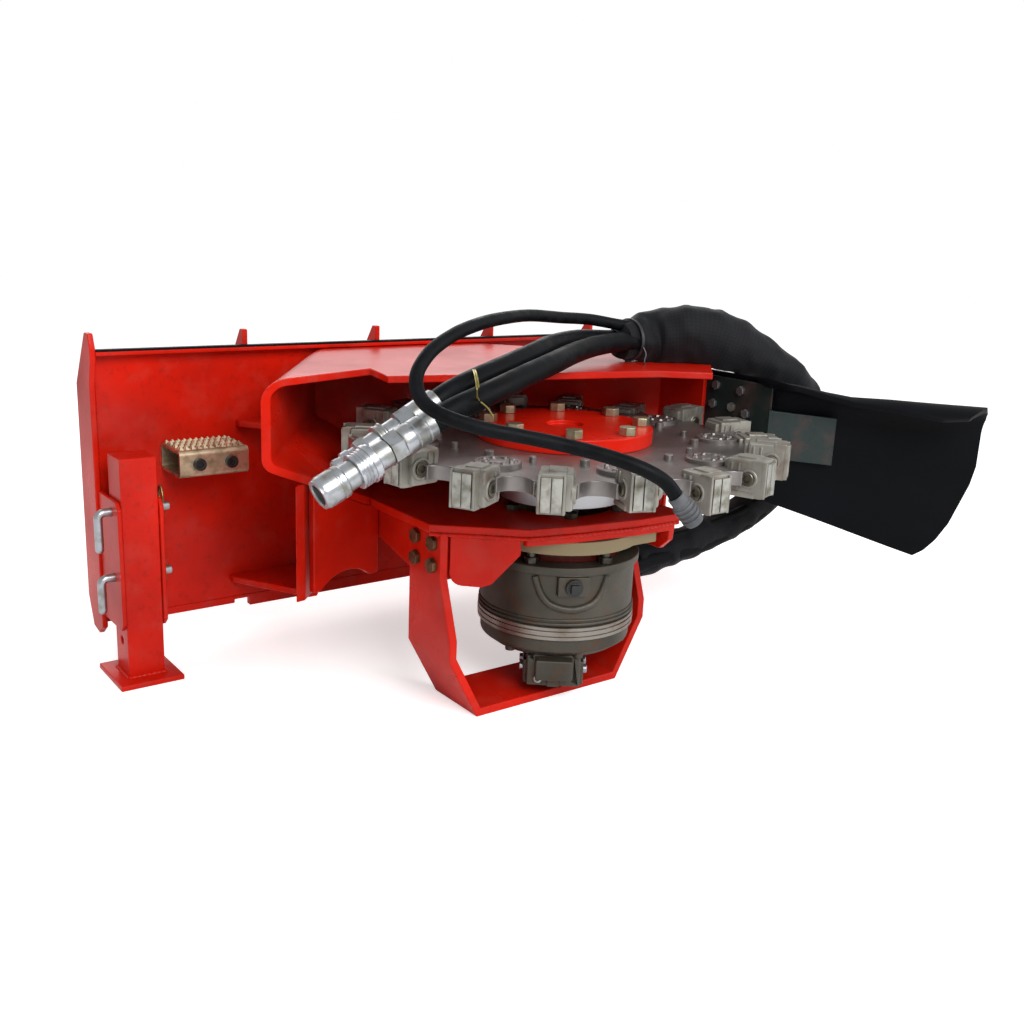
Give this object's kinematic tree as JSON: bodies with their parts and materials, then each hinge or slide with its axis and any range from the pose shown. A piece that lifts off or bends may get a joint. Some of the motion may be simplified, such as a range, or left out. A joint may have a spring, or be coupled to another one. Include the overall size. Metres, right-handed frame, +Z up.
{
  "type": "stump grinder",
  "caption": "Hydraulic stump grinder attachment: toothed horizontal cutter disc in a welded housing on a quick-attach plate, with hose bundle, rubber deflector and parking stand.",
  "frame": {"origin": "on the ground under the cutter disc's axis, on the underside of the guard strap", "axes": "+Z up along the cutter's axis, +Y towards the attach plate and the loader, +X along the attach plate towards the deflector"},
  "size_m": [1.1758, 0.8103, 0.5515],
  "materials": {
    "red_paint": "gloss",
    "red_cover_paint": "gloss",
    "rubber_black": "matte",
    "hose_rubber": "matte",
    "nylon_sleeve": "matte",
    "step_zinc": "satin",
    "black_oxide": "satin",
    "bright_zinc": "satin",
    "yellow_zinc": "satin",
    "flange_iron": "matte",
    "primer_red": "matte",
    "motor_iron": "matte",
    "bearing_steel": "satin",
    "disc_steel": "satin",
    "tooth_steel": "matte",
    "carbide": "satin",
    "dark_paint": "satin",
    "cap_plastic": "matte"
  },
  "bodies": {
    "frame": {"attach_plate": "red_paint", "hook_rail": "red_paint", "rail_fins": "red_paint", "left_end_plate": "red_paint", "right_end_plate": "red_paint", "lock_flange": "red_paint", "rail_strip": "rubber_black", "top_sheet": "red_paint", "left_cheek": "red_paint", "rear_wall": "red_paint", "floor_sheet": "red_paint", "left_skirt": "red_paint", "diagonal_skirt": "red_paint", "nose_skirt": "red_paint", "right_side_plate": "red_paint", "lower_gusset": "red_paint", "arched_web": "red_paint", "cheek_ribs": "red_paint", "step_tread": "step_zinc", "step_bolts": "black_oxide", "stand_sleeve": "red_paint", "stand_leg": "red_paint", "stand_foot": "red_paint", "guard_strap": "red_paint", "guard_bolts": "yellow_zinc", "mounting_flange": "flange_iron", "spacer_ring": "primer_red", "motor_bolts": "yellow_zinc", "motor_housing": "motor_iron", "motor_band": "flange_iron", "motor_end_cap": "motor_iron", "port_block": "motor_iron", "port_fittings": "bright_zinc", "case_plug": "black_oxide", "shaft_bearings": "bearing_steel", "shaft_seal": "rubber_black", "deflector_bracket": "dark_paint", "deflector_bolts": "bright_zinc", "deflector_flap": "rubber_black", "hose_sleeve": "nylon_sleeve", "pressure_hose": "hose_rubber", "return_hose": "hose_rubber", "drain_hose": "hose_rubber", "drain_cap": "cap_plastic", "quick_couplers": "bright_zinc"},
    "cutter": {"output_shaft": "bearing_steel", "motor_rotor": "bearing_steel", "drive_hub": "bearing_steel", "cutter_disc": "disc_steel", "hub_cover": "red_cover_paint", "hub_bolts": "bright_zinc", "tooth_blocks": "tooth_steel", "carbide_tips": "carbide", "tooth_bolts": "tooth_steel", "wear_buttons": "disc_steel"},
    "upper_pin": {"upper_lock_pin": "bright_zinc", "upper_clip": "yellow_zinc"},
    "lower_pin": {"lower_lock_pin": "bright_zinc", "lower_clip": "yellow_zinc"},
    "collar": {"release_collar": "bright_zinc"}
  },
  "joints": [
    {"name": "cutter_spin", "type": "hinge", "parent": "frame", "child": "cutter", "pos_m": [0, 0, 0.36], "axis": [0, 0, 1], "continuous": true},
    {"name": "upper_pin_turn", "type": "hinge", "parent": "frame", "child": "upper_pin", "pos_m": [-0.51, 0.326, 0.25], "axis": [1, 0, 0], "range_deg": [-90, 90]},
    {"name": "lower_pin_turn", "type": "hinge", "parent": "frame", "child": "lower_pin", "pos_m": [-0.51, 0.326, 0.154], "axis": [1, 0, 0], "range_deg": [-90, 90]},
    {"name": "collar_slide", "type": "slide", "parent": "frame", "child": "collar", "axis": [0.9012, -0.0069, 0.4333], "range_m": [0, 0.008], "stiffness_N_per_m": 1500}
  ]
}
